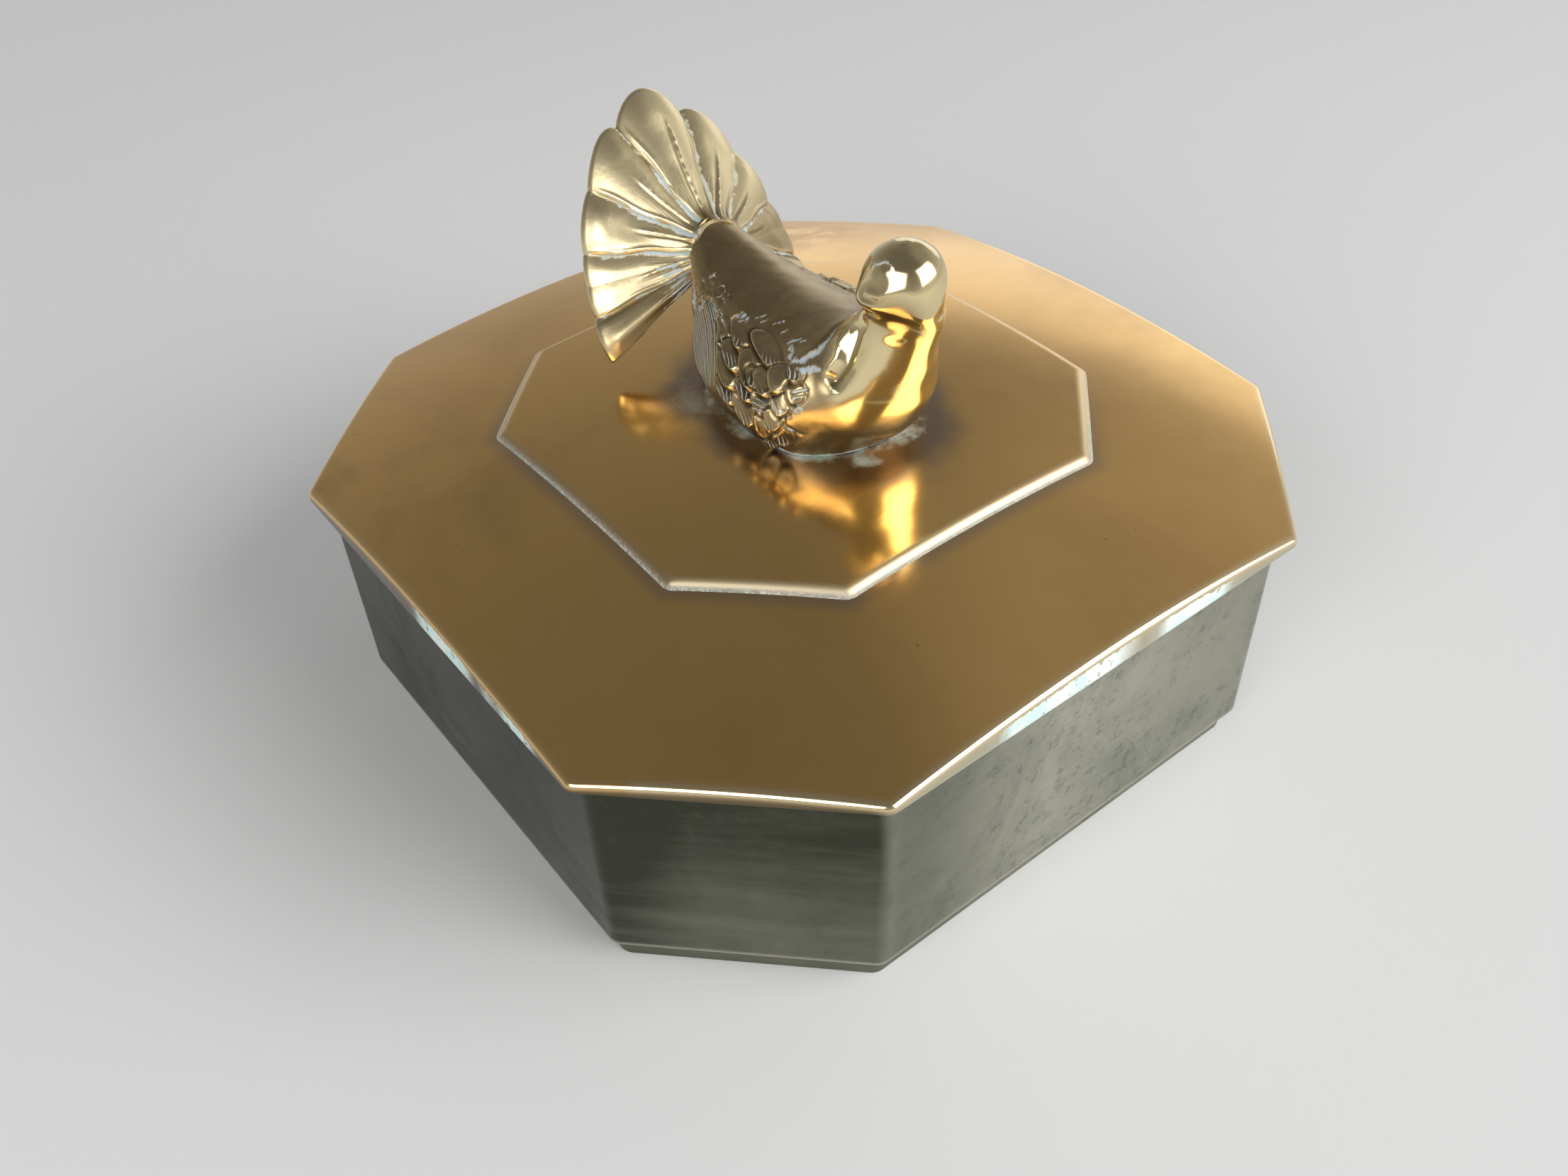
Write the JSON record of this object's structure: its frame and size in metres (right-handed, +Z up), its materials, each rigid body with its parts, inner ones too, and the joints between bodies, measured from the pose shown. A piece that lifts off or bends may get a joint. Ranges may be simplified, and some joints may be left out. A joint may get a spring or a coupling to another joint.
{
  "type": "lidded brass box",
  "caption": "Square brass box with chamfered corners, a recessed foot and a lift-off domed lid carrying a cast bird finial with a raised fan tail.",
  "frame": {"origin": "centre of the overall box at the plane that the foot stands on", "axes": "+Z up, the bird's breast points to -Y and its fan tail to +Y, +X to the bird's left"},
  "size_m": [0.15, 0.15, 0.097],
  "materials": {
    "wall_brass": "brushed and dulled",
    "lid_brass": "polished, lightly tarnished",
    "bird_brass": "cast and polished",
    "fixing_brass": "turned"
  },
  "bodies": {
    "box": {"wall_band": "wall_brass", "floor_plate": "wall_brass", "foot_band": "wall_brass"},
    "lid": {"lid_shell": "lid_brass", "raised_panel": "lid_brass", "locating_band": "lid_brass", "bird_casting": "bird_brass", "tail_fan": "bird_brass", "fixing_washer": "fixing_brass", "fixing_screw": "fixing_brass"}
  },
  "joints": [
    {"name": "lid_lift", "type": "slide", "parent": "box", "child": "lid", "axis": [0, 0, 1], "range_m": [0, 0.06]}
  ]
}
